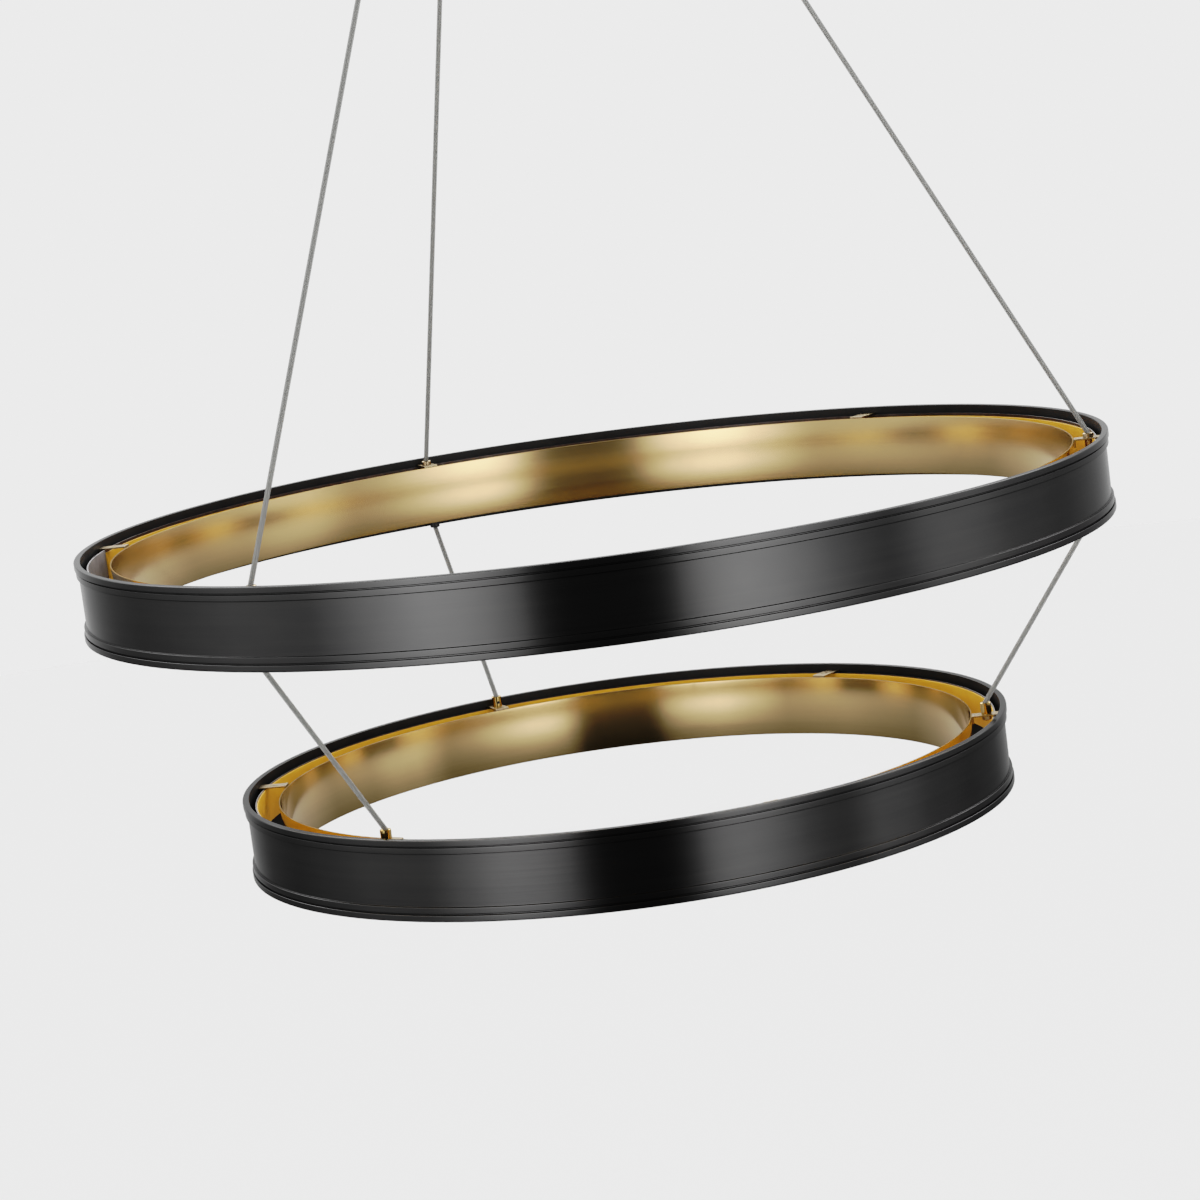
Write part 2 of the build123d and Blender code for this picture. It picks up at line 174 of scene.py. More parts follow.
class MaterialGraph(NodeGraph):
    """A material's node tree round its Principled shader."""

    def __init__(self, name: str) -> None:
        """Start a material.

        Args:
            name: The material's name.
        """
        self.material = bpy.data.materials.new(name)
        self.material.use_nodes = True
        super().__init__(self.material.node_tree)
        self.shader = self.tree.nodes["Principled BSDF"]

    def give(self, name: str, value: object) -> None:
        """Join one of the shader's inputs to a socket, or set it to a constant."""
        self.feed(self.shader.inputs[name], value)

    def place(self) -> Socket:
        """The piece's own Object coordinates."""
        return self.add("ShaderNodeTexCoord").outputs["Object"]

    def scaled(self, along: float, across: float) -> Socket:
        """Coordinates in which a noise runs in streaks round the rings' axis.

        Args:
            along: Scale along the streaks, per metre.
            across: Scale across the streaks, per metre.

        Returns:
            A vector socket.
        """
        parts = self.add("ShaderNodeSeparateXYZ")
        self.feed(parts.inputs[0], self.place())
        flat = self.add("ShaderNodeCombineXYZ")
        self.feed(flat.inputs[0], parts.outputs[0])
        self.feed(flat.inputs[1], parts.outputs[1])
        level = self.math("ADD", self.vector("LENGTH", flat.outputs[0]), parts.outputs[2])
        stretched = self.add("ShaderNodeCombineXYZ")
        self.feed(stretched.inputs[0], self.math("MULTIPLY", parts.outputs[0], along))
        self.feed(stretched.inputs[1], self.math("MULTIPLY", parts.outputs[1], along))
        self.feed(stretched.inputs[2], self.math("MULTIPLY", level, across))
        return stretched.outputs[0]

    def noise(self, vector: Socket, scale: float, detail: float = 3.0, rough: float = 0.55) -> Socket:
        """Add a noise texture.

        Args:
            vector: Its coordinates.
            scale: Its scale.
            detail: Its number of octaves.
            rough: How strong the finer octaves are.

        Returns:
            The noise's value.
        """
        node = self.add("ShaderNodeTexNoise")
        self.feed(node.inputs["Vector"], vector)
        node.inputs["Scale"].default_value = scale
        node.inputs["Detail"].default_value = detail
        node.inputs["Roughness"].default_value = rough
        return node.outputs["Fac"]

    def blend(self, first: Socket, second: Socket, share: float) -> Socket:
        """Add two values up, the first one with a share of the sum."""
        rest = self.math("MULTIPLY", second, 1.0 - share)
        return self.math("ADD", self.math("MULTIPLY", first, share), rest)

    def patched(self, value: Socket, deep: Colour, light: Colour, *ends: float) -> None:
        """Colour the shader by a noise, from a deep to a light colour, between the spread's ends."""
        self.give("Base Color", self.tint(self.spread(value, 0.0, 1.0, *ends), deep, light))

    def metal(self, edge: float) -> None:
        """Make the shader a metal, with a share of the full shine at grazing angles."""
        self.give("Metallic", 1.0)
        self.give("Specular Tint", (edge, edge, edge, 1.0))

    def tint(self, value: Socket, first: Colour, second: Colour) -> Socket:
        """Mix two colours by a value between 0 and 1.

        Args:
            value: The mixing value.
            first: The colour at 0.
            second: The colour at 1.

        Returns:
            The colour's socket.
        """
        node = self.add("ShaderNodeMix", data_type="RGBA")
        self.feed(node.inputs["Factor"], value)
        for item in node.inputs:
            if item.type == "RGBA" and item.name == "A":
                item.default_value = (*first, 1.0)
            if item.type == "RGBA" and item.name == "B":
                item.default_value = (*second, 1.0)
        return next(out for out in node.outputs if out.type == "RGBA")

    def relief(self, height: Socket, depth: float, strength: float = 1.0) -> None:
        """Give the shader a bump.

        Args:
            height: The relief's value.
            depth: Its depth in metres.
            strength: How much of it shows.
        """
        bump = self.add("ShaderNodeBump")
        bump.inputs["Distance"].default_value = depth
        bump.inputs["Strength"].default_value = strength
        self.feed(bump.inputs["Height"], height)
        self.give("Normal", bump.outputs[0])

    def brushed(self, amount: float) -> None:
        """Draw highlights out across brush marks that run round the piece.

        Args:
            amount: The shader's anisotropy.
        """
        tangent = self.add("ShaderNodeTangent", direction_type="UV_MAP", uv_map=WRAP_UV)
        self.give("Anisotropic", amount)
        self.give("Anisotropic Rotation", QUARTER_TURN)
        self.give("Tangent", tangent.outputs[0])


class Finish:
    """A surface finish, whose material is made once."""

    made: dict["Finish", bpy.types.Material] = {}

    def material(self) -> bpy.types.Material:
        """The finish's material."""
        if self not in Finish.made:
            Finish.made[self] = self.mix()
        return Finish.made[self]

    def mix(self) -> bpy.types.Material:
        """Build the material; each finish has its own way."""
        raise NotImplementedError


@dataclass(frozen=True)
class BrushedMetal(Finish):
    """Metal with the marks of a brush that went round the piece."""

    name: str
    deep: Colour
    light: Colour
    smooth: float
    dull: float
    drawn: float
    fine: Streaks
    broad: Streaks
    fine_share: float
    cloud: float
    mark_depth: float = 0.00002
    mark_strength: float = 0.4
    edge: float = 1.0

    def mix(self) -> bpy.types.Material:
        """Build the brushed metal.

        Returns:
            The material.
        """
        graph = MaterialGraph(self.name)
        fine = graph.noise(graph.scaled(*self.fine), 1.0, detail=4.0, rough=0.6)
        broad = graph.noise(graph.scaled(*self.broad), 1.0)
        marks = graph.blend(fine, broad, self.fine_share)
        cloud = graph.noise(graph.place(), self.cloud, detail=4.0)
        graph.patched(graph.math("ADD", marks, cloud), self.deep, self.light, 0.7, 1.3)
        graph.give("Roughness", graph.spread(marks, self.smooth, self.dull))
        graph.metal(self.edge)
        graph.relief(marks, self.mark_depth, self.mark_strength)
        graph.brushed(self.drawn)
        return graph.material


@dataclass(frozen=True)
class Phosphor(Finish):
    """The unlit yellow coating of the LED strip."""

    deep: Colour = (0.86, 0.44, 0.035)
    light: Colour = (0.98, 0.56, 0.075)
    smooth: float = 0.38
    dull: float = 0.55
    grain: float = 900.0
    grain_share: float = 0.4
    grain_depth: float = 0.00005
    grain_strength: float = 0.4
    patches: Streaks = (30.0, 60.0)

    def mix(self) -> bpy.types.Material:
        """Build the coating.

        Returns:
            The material.
        """
        graph = MaterialGraph("phosphor")
        grain = graph.noise(graph.place(), self.grain)
        patch = graph.noise(graph.scaled(*self.patches), 1.0)
        graph.patched(graph.blend(grain, patch, self.grain_share), self.deep, self.light)
        graph.give("Roughness", graph.spread(grain, self.smooth, self.dull))
        graph.relief(grain, self.grain_depth, self.grain_strength)
        return graph.material


@dataclass(frozen=True)
class PlainMetal(Finish):
    """A small metal piece with a worked surface."""

    name: str
    deep: Colour
    light: Colour
    smooth: float
    dull: float
    grain: float = 400.0
    edge: float = 1.0
    grains_per_patch: float = 8.0
    grain_share: float = 0.5
    grain_depth: float = 0.00002
    grain_strength: float = 0.4

    def mix(self) -> bpy.types.Material:
        """Build the metal.

        Returns:
            The material.
        """
        graph = MaterialGraph(self.name)
        fine = graph.noise(graph.place(), self.grain, detail=4.0, rough=0.6)
        patch = graph.noise(graph.place(), self.grain / self.grains_per_patch)
        both = graph.blend(fine, patch, self.grain_share)
        graph.patched(both, self.deep, self.light)
        graph.give("Roughness", graph.spread(both, self.smooth, self.dull))
        graph.metal(self.edge)
        graph.relief(fine, self.grain_depth, self.grain_strength)
        return graph.material


@dataclass(frozen=True)
class MouldedPlastic(Finish):
    """A moulded case with a fine spark-eroded grain."""

    name: str
    deep: Colour
    light: Colour
    smooth: float = 0.42
    dull: float = 0.58
    grain: float = 1800.0
    grain_depth: float = 0.00006
    grain_strength: float = 0.5
    patches: float = 60.0

    def mix(self) -> bpy.types.Material:
        """Build the plastic.

        Returns:
            The material.
        """
        graph = MaterialGraph(self.name)
        grain = graph.noise(graph.place(), self.grain, detail=2.0)
        graph.patched(graph.noise(graph.place(), self.patches), self.deep, self.light)
        graph.give("Roughness", graph.spread(grain, self.smooth, self.dull))
        graph.relief(grain, self.grain_depth, self.grain_strength)
        return graph.material


@dataclass(frozen=True)
class ClearSleeve(Finish):
    """The clear sleeve over a cable's strands."""

    colour: Colour = (0.29, 0.29, 0.28)
    cover: float = 0.64
    smooth: float = 0.14
    dull: float = 0.26
    haze: float = 220.0

    def mix(self) -> bpy.types.Material:
        """Build the sleeve.

        Returns:
            The material.
        """
        graph = MaterialGraph("clear_sleeve")
        haze = graph.noise(graph.place(), self.haze)
        graph.give("Base Color", (*self.colour, 1.0))
        graph.give("Roughness", graph.spread(haze, self.smooth, self.dull))
        graph.give("Alpha", self.cover)
        return graph.material


@dataclass(frozen=True)
class PaleFloor(Finish):
    """The studio's pale floor."""

    colour: Colour = (0.848, 0.848, 0.848)
    dull: float = 0.9

    def mix(self) -> bpy.types.Material:
        """Build the floor's paint.

        Returns:
            The material.
        """
        graph = MaterialGraph("pale_floor")
        graph.give("Base Color", (*self.colour, 1.0))
        graph.give("Roughness", self.dull)
        graph.give("Specular IOR Level", 0.0)
        return graph.material


DARK_BRONZE = BrushedMetal(
    "dark_bronze", (0.094, 0.094, 0.095), (0.118, 0.117, 0.116), 0.20, 0.25, drawn=0.90, fine=(9.0, 1500.0),
    broad=(2.5, 120.0), fine_share=0.6, cloud=7.0, edge=0.52,
)
SATIN_BRASS = BrushedMetal(
    "satin_brass", (0.59, 0.435, 0.222), (0.68, 0.505, 0.262), 0.16, 0.21, drawn=0.5, fine=(6.0, 1100.0),
    broad=(2.0, 90.0), fine_share=0.5, cloud=5.0, mark_strength=0.7,
)
MIRROR_BRASS = replace(
    SATIN_BRASS, name="mirror_brass", smooth=0.10, dull=0.13, drawn=0.93,
    mark_depth=0.00001, mark_strength=0.4,
)
REFLECTOR_BRASS = {Polish.SATIN: SATIN_BRASS, Polish.MIRROR: MIRROR_BRASS}
ZINC = PlainMetal("zinc_steel", (0.42, 0.43, 0.44), (0.58, 0.59, 0.60), 0.28, 0.46, 260.0)
HOOP_METAL = PlainMetal("hoop_metal", (0.10, 0.095, 0.095), (0.17, 0.16, 0.16), 0.30, 0.45, 160.0)
DULL_LINING = PlainMetal("dull_lining", (0.044, 0.044, 0.045), (0.064, 0.064, 0.065), 0.45, 0.60)
BLACK_STEEL = PlainMetal("black_steel", (0.05, 0.05, 0.05), (0.09, 0.09, 0.09), 0.30, 0.45)
GOLD_BRASS = PlainMetal("gold_brass", (0.62, 0.44, 0.18), (0.74, 0.55, 0.25), 0.08, 0.16)
PALE_BRASS = PlainMetal("pale_brass", (0.52, 0.45, 0.33), (0.66, 0.58, 0.44), 0.24, 0.36)
BAR_METAL = PlainMetal("bar_metal", (0.42, 0.34, 0.23), (0.54, 0.45, 0.31), 0.24, 0.36, edge=0.55)
# Darker, duller brass for the reflector's top and bottom edges: painted shade that dims the highlight their
# rounded edges would catch.
PAINTED_SHADE_EDGE_BRASS = PlainMetal("painted_shade_edge_brass", (0.26, 0.18, 0.09), (0.36, 0.26, 0.14), 0.35, 0.50, edge=0.30)
STRAND_STEEL = PlainMetal("strand_steel", (0.34, 0.34, 0.33), (0.60, 0.60, 0.58), 0.20, 0.34)
HOOP_PRIMER = MouldedPlastic("hoop_primer", (0.17, 0.16, 0.165), (0.34, 0.32, 0.325))
CASE_PLASTIC = MouldedPlastic("case_plastic", (0.74, 0.74, 0.72), (0.82, 0.82, 0.80))
TERMINAL_PLASTIC = MouldedPlastic("terminal_plastic", (0.62, 0.62, 0.58), (0.72, 0.72, 0.68))


@dataclass(frozen=True)
class Corner:
    """A corner of a turned outline: its radius, height and rounding, in metres."""

    r: float
    z: float
    soft: float = 0.0


def outwards(shape: Shape) -> None:
    """Turn all of a shape's faces outwards."""
    bmesh.ops.recalc_face_normals(shape, faces=shape.faces[:])


class Lathe:
    """Turns outlines about the rings' axis."""

    @staticmethod
    def turn(
        corners: Sequence[Corner], steps: int, segments: int = CORNER_FACETS,
        start: float = 0.0, arc: float = CIRCLE,
    ) -> Shape:
        """Turn a closed outline into a hoop.

        Args:
            corners: The outline's corners in order.
            steps: The number of steps round the axis.
            segments: The number of facets on each rounded corner.
            start: Where a hoop that isn't closed starts, in degrees.
            arc: How far it goes round, in degrees.

        Returns:
            The hoop, with its faces outwards.
        """
        shape = bmesh.new()
        verts = [shape.verts.new((corner.r, 0.0, corner.z)) for corner in corners]
        shape.faces.new(verts)
        for vert, corner in zip(verts, corners):
            if corner.soft:
                Lathe.soften(shape, [vert], corner.soft, segments)
        bmesh.ops.delete(shape, geom=shape.faces[:], context="FACES_ONLY")
        return Lathe.spin(shape, steps) if arc == CIRCLE else Lathe.sweep(shape, steps, start, arc)

    @staticmethod
    def soften(shape: Shape, corners: list[bmesh.types.BMVert], size: float, segments: int) -> None:
        """Round corners of an outline that one face still fills.

        Args:
            shape: The outline.
            corners: The corners.
            size: Their rounding, in metres.
            segments: The number of facets on each.
        """
        bmesh.ops.bevel(
            shape, geom=corners, offset=size, offset_type="OFFSET", segments=segments, profile=0.5,
            affect="VERTICES", material=-1,
        )

    @staticmethod
    def drag(shape: Shape, angle: float, steps: int, climb: float = 0.0) -> None:
        """Drag a wire round the axis, so that it leaves a surface behind.

        Args:
            shape: The wire.
            angle: How far it goes round, in radians.
            steps: The number of steps.
            climb: How far it rises at each step, in metres.
        """
        bmesh.ops.spin(
            shape, geom=shape.verts[:] + shape.edges[:], cent=ORIGIN, axis=UPWARD, dvec=(0.0, 0.0, climb),
            angle=angle, steps=steps,
        )

    @staticmethod
    def sweep(shape: Shape, steps: int, start: float, arc: float) -> Shape:
        """Spin a wire outline through part of a turn and close its ends.

        Args:
            shape: The outline.
            steps: The number of steps in the arc.
            start: Where it starts, in degrees.
            arc: How far it goes round, in degrees.

        Returns:
            The same shape, swept.
        """
        turn = Matrix.Rotation(math.radians(start), 3, "Z")
        bmesh.ops.rotate(shape, cent=ORIGIN, matrix=turn, verts=shape.verts[:])
        Lathe.drag(shape, math.radians(arc), steps)
        bmesh.ops.holes_fill(shape, edges=[edge for edge in shape.edges if edge.is_boundary], sides=0)
        outwards(shape)
        return shape

    @staticmethod
    def spin(shape: Shape, steps: int) -> Shape:
        """Spin a wire outline through a full turn and close it.

        Args:
            shape: The outline.
            steps: The number of steps round the axis.

        Returns:
            The same shape, turned.
        """
        Lathe.drag(shape, math.tau / SECTORS, steps // SECTORS)
        share = SECTORS
        while share > 1:
            copy = bmesh.ops.duplicate(shape, geom=shape.verts[:] + shape.edges[:] + shape.faces[:])["geom"]
            turned = [item for item in copy if isinstance(item, bmesh.types.BMVert)]
            turn = Matrix.Rotation(math.tau / share, 3, "Z")
            bmesh.ops.rotate(shape, cent=ORIGIN, matrix=turn, verts=turned)
            share //= 2
        bmesh.ops.remove_doubles(shape, verts=shape.verts[:], dist=SAME_SPOT)
        outwards(shape)
        return shape

    @staticmethod
    def wrap(shape: Shape) -> None:
        """Lay a UV map round a turned shape, with U round the axis.

        Args:
            shape: The shape.
        """
        layer = shape.loops.layers.uv.new(WRAP_UV)
        for face in shape.faces:
            centre = face.calc_center_median()
            middle = math.atan2(centre.y, centre.x)
            for loop in face.loops:
                spot = loop.vert.co
                turn = Matrix.Rotation(-middle, 2) @ spot.xy
                angle = middle + math.atan2(turn.y, turn.x)
                loop[layer].uv = (angle / math.tau, spot.z + spot.xy.length)


def into_scene(name: str, shape: Shape, material: bpy.types.Material) -> bpy.types.Object:
    """Make a finished shape an object of the scene.

    Args:
        name: The object's name.
        shape: Its mesh, which is freed.
        material: Its material.

    Returns:
        The object.
    """
    mesh = bpy.data.meshes.new(name)
    shape.to_mesh(mesh)
    shape.free()
    mesh.materials.append(material)
    made = bpy.data.objects.new(name, mesh)
    bpy.context.scene.collection.objects.link(made)
    return made


class SubAssembly:
    """Pieces that ride on one body of the frame."""

    body: str = ""

    def add(
        self, name: str, shape: Shape, finish: Finish, slot: str, *nodes: str, crease: float = 32.0,
    ) -> bpy.types.Object:
        """Make a shape a piece of the object.

        Args:
            name: The piece's name.
            shape: Its mesh, in place.
            finish: Its finish.
            slot: The slot that the finish belongs to; not used.
            nodes: The frame's nodes that it stands for.
            crease: Edges sharper than this many degrees are shaded sharp.

        Returns:
            The piece.
        """
        Lathe.wrap(shape)
        for face in shape.faces:
            face.smooth = True
        for edge in shape.edges:
            edge.smooth = edge.calc_face_angle(0.0) < math.radians(crease)
        piece = into_scene(name, shape, finish.material())
        piece.modifiers.new("flat_faces", "WEIGHTED_NORMAL").keep_sharp = True
        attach(piece, self.body)
        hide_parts(*nodes)
        LOG.info("%s: %d faces on %s", name, len(piece.data.polygons), self.body)
        return piece

    def face(self, piece: bpy.types.Object, finish: Finish, chosen: Callable[[Vector], bool]) -> None:
        """Give some of a piece's faces another finish.

        Args:
            piece: The piece.
            finish: The other finish.
            chosen: Whether a face with this middle gets it.
        """
        piece.data.materials.append(finish.material())
        for face in piece.data.polygons:
            if chosen(face.center):
                face.material_index = 1

    def dress(self, finish: Finish, *nodes: str) -> None:
        """Give nodes of the frame a finish.

        Args:
            finish: The finish.
            nodes: The nodes' names.
        """
        for name in nodes:
            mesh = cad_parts[name].data
            mesh.materials.clear()
            mesh.materials.append(finish.material())
            LOG.info("%s: dressed with %s", name, finish.material().name)


@dataclass
class CableSet:
    """Three straight cables between two levels, each a clear sleeve over twisted strands."""

    name: str
    top_radius: float
    top: float
    bottom_radius: float
    bottom: float
    diameter: float = 0.0050
    core: float = 0.0019
    strand: float = 0.00068
    strands: int = 6
    strand_facets: int = 6
    sleeve_facets: int = 6
    sleeve_order: int = 3
    lay: float = 0.016
    steps_per_turn: int = 14
    seat: float = 0.0015

    def build(self) -> None:
        """Make the three cables."""
        for number, angle in enumerate(CABLE_ANGLES, start=1):
            turn = Matrix.Rotation(math.radians(angle), 3, "Z")
            start = turn @ Vector((self.top_radius, 0.0, self.top))
            end = turn @ Vector((self.bottom_radius, 0.0, self.bottom))
            self.run(number, start, end)

    def run(self, number: int, start: Vector, end: Vector) -> None:
        """Make one cable.

        Args:
            number: Which cable it is.
            start: Its upper pivot.
            end: Its lower pivot.
        """
        body = f"{self.name}_{number}"
        along = (end - start).normalized()
        first, last = start - along * self.seat, end + along * self.seat
        sleeve = self.sleeve(f"{self.name}_sleeve_{number}", first, last)
        core = self.twist(f"{self.name}_strands_{number}", first, last)
        for piece in (sleeve, core):
            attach(piece, body)
            LOG.info("%s on %s", piece.name, body)
        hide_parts(body)

    def sleeve(self, name: str, first: Vector, last: Vector) -> bpy.types.Object:
        """Make a cable's sleeve on one open spline.

        Args:
            name: The piece's name.
            first: Its upper end.
            last: Its lower end.

        Returns:
            The sleeve.
        """
        curve = bpy.data.curves.new(name, "CURVE")
        curve.dimensions = "3D"
        curve.bevel_depth = self.diameter / 2
        curve.bevel_resolution = self.sleeve_facets
        curve.use_fill_caps = True
        spline = curve.splines.new("NURBS")
        route = (first, first.lerp(last, 0.5), last)
        spline.points.add(len(route) - 1)
        for point, spot in zip(spline.points, route):
            point.co = (*spot, 1.0)
        spline.order_u = self.sleeve_order
        spline.use_endpoint_u = True
        curve.materials.append(ClearSleeve().material())
        piece = bpy.data.objects.new(name, curve)
        bpy.context.scene.collection.objects.link(piece)
        return piece

    def twist(self, name: str, first: Vector, last: Vector) -> bpy.types.Object:
        """Make the strands inside a sleeve, twisted by a spin that climbs.

        Args:
            name: The piece's name.
            first: The upper end.
            last: The lower end.

        Returns:
            The strands.
        """
        shape = bmesh.new()
        middle = self.core - self.strand
        bmesh.ops.create_circle(shape, segments=self.strand_facets, radius=middle)
        for number in range(self.strands):
            turn = Matrix.Rotation(math.tau * number / self.strands, 4, "Z")
            place = turn @ Matrix.Translation((middle, 0.0, 0.0))
            bmesh.ops.create_circle(shape, segments=self.strand_facets, radius=self.strand, matrix=place)
        turns = round((last - first).length / self.lay)
        pitch = (last - first).length / turns
        Lathe.drag(shape, math.tau, self.steps_per_turn, climb=pitch / self.steps_per_turn)
        one_turn = shape.verts[:] + shape.edges[:] + shape.faces[:]
        for number in range(1, turns):
            copy = bmesh.ops.duplicate(shape, geom=one_turn)["geom"]
            moved = [item for item in copy if isinstance(item, bmesh.types.BMVert)]
            bmesh.ops.translate(shape, vec=(0.0, 0.0, number * pitch), verts=moved)
        bmesh.ops.remove_doubles(shape, verts=shape.verts[:], dist=SAME_SPOT)
        outwards(shape)
        tilt = Vector(UPWARD).rotation_difference(last - first).to_matrix().to_4x4()
        bmesh.ops.transform(shape, matrix=Matrix.Translation(first) @ tilt, verts=shape.verts[:])
        for face in shape.faces:
            face.smooth = True
        return into_scene(name, shape, STRAND_STEEL.material())


@dataclass
class Bridge:
    """A bent bar across a ring's channel, from the reflector to the band."""

    inner: float
    outer: float
    hole_at: float
    hole: float
    slot_length: float = 0.0
    width: float = 0.0150
    thick: float = 0.0016
    outer_tab: float = 0.0064
    inner_tab: float = 0.0080
    edge: float = 0.00025
    edge_facets: int = 2
    sharp: float = 60.0
    hole_facets: int = 28

    def build(self, level: float, angle: float, below: bool) -> Shape:
        """Make the bar in its place.

        Args:
            level: The height of its outer face.
            angle: Its place round the ring, in degrees.
            below: Whether it hangs upside down under the ring.

        Returns:
            The bar.
        """
        shape = self.plate()
        flip = Matrix.Diagonal((1.0, 1.0, -1.0, 1.0)) if below else Matrix.Identity(4)
        place = Matrix.Rotation(math.radians(angle), 4, "Z") @ Matrix.Translation((0.0, 0.0, level)) @ flip
        bmesh.ops.transform(shape, matrix=place, verts=shape.verts[:])
        outwards(shape)
        return shape

    def plate(self) -> Shape:
        """Make the bar lying along X with its top face at height 0.

        Returns:
            The bar.
        """
        shape = bmesh.new()
        half = self.width / 2
        stops = (self.inner, self.inner + self.thick, self.outer - self.thick, self.outer)
        rows = [[shape.verts.new((x, side * half, 0.0)) for side in (-1, 1)] for x in stops]
        for first, second in ((rows[0], rows[1]), (rows[2], rows[3])):
            shape.faces.new((first[0], second[0], second[1], first[1]))
        rim = [shape.edges.new((rows[1][side], rows[2][side])) for side in (0, 1)]
        rim += [shape.edges.get((row[0], row[1])) for row in (rows[1], rows[2])]
        place = Matrix.Translation((self.hole_at, 0.0, 0.0))
        made = bmesh.ops.create_circle(shape, segments=self.hole_facets, radius=self.hole / 2, matrix=place)
        for vert in made["verts"]:
            vert.co.x += math.copysign(self.slot_length / 2, vert.co.x - self.hole_at)
        opening = {edge for vert in made["verts"] for edge in vert.link_edges}
        bmesh.ops.triangle_fill(shape, use_beauty=True, edges=rim + list(opening))
        outwards(shape)
        made = bmesh.ops.extrude_face_region(shape, geom=shape.faces[:], use_keep_orig=True)["geom"]
        sunk = [item for item in made if isinstance(item, bmesh.types.BMVert)]
        bmesh.ops.translate(shape, vec=(0.0, 0.0, -self.thick), verts=sunk)
        ends = [item for item in made if isinstance(item, bmesh.types.BMFace) and len(item.verts) == 4]
        ends.sort(key=lambda face: face.calc_center_median().x)
        for end, tab in zip((ends[0], ends[-1]), (self.inner_tab, self.outer_tab)):
            grown = bmesh.ops.extrude_discrete_faces(shape, faces=[end])["faces"][0]
            bmesh.ops.translate(shape, vec=(0.0, 0.0, self.thick - tab), verts=grown.verts[:])
        outwards(shape)
        sharp = [edge for edge in shape.edges if edge.calc_face_angle(0.0) > math.radians(self.sharp)]
        bmesh.ops.bevel(
            shape, geom=sharp, offset=self.edge, offset_type="OFFSET", segments=self.edge_facets, profile=0.5,
            affect="EDGES", material=-1, clamp_overlap=True,
        )
        return shape


